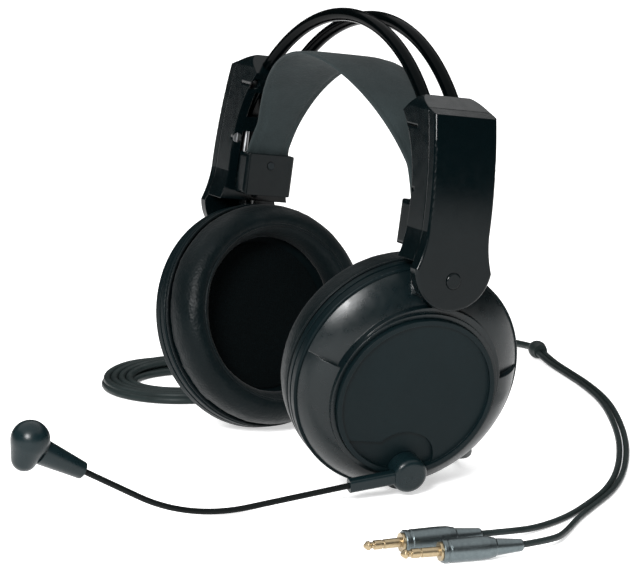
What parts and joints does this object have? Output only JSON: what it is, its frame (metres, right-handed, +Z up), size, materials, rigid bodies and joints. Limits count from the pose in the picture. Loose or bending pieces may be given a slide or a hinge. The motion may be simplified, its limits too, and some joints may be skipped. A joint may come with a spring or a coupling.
{
  "type": "headset with boom microphone",
  "caption": "Closed-back stereo headset with round padded cups, twin-bow self-adjusting headband, swinging boom microphone and a coiled cord ending in two mini-jack plugs",
  "frame": {"origin": "middle of the headset's footprint on the floor, halfway between the cups; cord and plugs are not counted", "axes": "+Z up, -Y the way the wearer faces, +X to the wearer's left, where the microphone cup is"},
  "size_m": [0.3429, 0.3362, 0.1776],
  "materials": {
    "shell_plastic": "satin moulded charcoal plastic",
    "disc_plastic": "satin moulded charcoal plastic with a fine grain",
    "bezel_plastic": "semi-gloss black plastic",
    "inner_plastic": "matte black plastic",
    "arm_plastic": "semi-gloss black plastic",
    "bow_rod": "glossy black coated rod",
    "ear_leatherette": "soft black leatherette",
    "strap_leatherette": "dark grey leatherette",
    "grille_fabric": "thin black woven cloth",
    "foam": "open-cell damping foam",
    "steel": "plain steel",
    "black_rivet": "black-finished steel rivet",
    "diaphragm_film": "thin polyester film",
    "elastic_rubber": "elastic cord",
    "boom_plastic": "smooth black plastic",
    "gooseneck_rubber": "rubber-sleeved flexible rod",
    "cord_rubber": "matte black rubber jacket",
    "plug_shell": "dark metallic plug shell",
    "plug_gold": "gold-plated contact"
  },
  "bodies": {
    "left_cup": {"left_shell": "shell_plastic", "left_disc": "disc_plastic", "left_bezel": "bezel_plastic", "left_baffle": "inner_plastic", "left_driver_basket": "inner_plastic", "left_magnet": "steel", "left_diaphragm": "diaphragm_film", "left_grille_cloth": "grille_fabric", "left_damping_ring": "foam", "left_cushion": "ear_leatherette", "left_cup_screws": "steel", "left_tilt_pin": "steel", "boom_spindle": "steel", "cord_gland": "cord_rubber", "cord_coil": "cord_rubber", "cord_run": "cord_rubber", "cord_out": "cord_rubber", "splitter": "cord_rubber", "leg_rear": "cord_rubber", "leg_front": "cord_rubber", "plug_rear_contact": "plug_gold", "plug_rear_shell": "plug_shell", "plug_front_contact": "plug_gold", "plug_front_shell": "plug_shell"},
    "left_swivel": {"left_swivel": "arm_plastic"},
    "headband": {"left_arm_cover": "arm_plastic", "right_arm_cover": "arm_plastic", "left_arm_chassis": "arm_plastic", "right_arm_chassis": "arm_plastic", "guide_rods": "steel", "elastics": "elastic_rubber", "arm_screws": "steel", "pivot_caps": "arm_plastic", "bow_front": "bow_rod", "bow_rear": "bow_rod"},
    "suspension": {"strap": "strap_leatherette", "left_slider": "arm_plastic", "right_slider": "arm_plastic", "strap_rivets": "black_rivet"},
    "right_swivel": {"right_swivel": "arm_plastic"},
    "right_cup": {"right_shell": "shell_plastic", "right_disc": "disc_plastic", "right_bezel": "bezel_plastic", "right_baffle": "inner_plastic", "right_driver_basket": "inner_plastic", "right_magnet": "steel", "right_diaphragm": "diaphragm_film", "right_grille_cloth": "grille_fabric", "right_damping_ring": "foam", "right_cushion": "ear_leatherette", "right_cup_screws": "steel", "right_tilt_pin": "steel"},
    "boom": {"boom_knob": "boom_plastic", "boom_finger": "boom_plastic", "gooseneck": "gooseneck_rubber", "mic_case": "boom_plastic", "mic_grille": "steel", "mic_capsule": "steel"}
  },
  "joints": [
    {"name": "left_tilt", "type": "hinge", "parent": "left_cup", "child": "left_swivel", "pos_m": [0.07976, 0.06223, 0.08166], "axis": [0.0698, 0.9866, -0.1474], "range_deg": [-5, 8]},
    {"name": "left_swing", "type": "hinge", "parent": "left_swivel", "child": "headband", "pos_m": [0.07976, 0.06223, 0.08166], "axis": [0, 0.1478, 0.989], "range_deg": [-5, 5]},
    {"name": "right_swing", "type": "hinge", "parent": "headband", "child": "right_swivel", "pos_m": [-0.07976, 0.06223, 0.08166], "axis": [0, 0.1478, 0.989], "range_deg": [-5, 5]},
    {"name": "right_tilt", "type": "hinge", "parent": "right_swivel", "child": "right_cup", "pos_m": [-0.07976, 0.06223, 0.08166], "axis": [-0.0698, 0.9866, -0.1474], "range_deg": [-5, 8]},
    {"name": "strap_rise", "type": "slide", "parent": "headband", "child": "suspension", "axis": [0, 0.1478, 0.989], "range_m": [0, 0.01], "stiffness_N_per_m": 150, "springref_m": -0.02},
    {"name": "boom_swing", "type": "hinge", "parent": "left_cup", "child": "boom", "pos_m": [0.07216, 0.05412, 0.00888], "axis": [-0.9658, 0.1038, 0.2376], "range_deg": [-20, 60]}
  ]
}
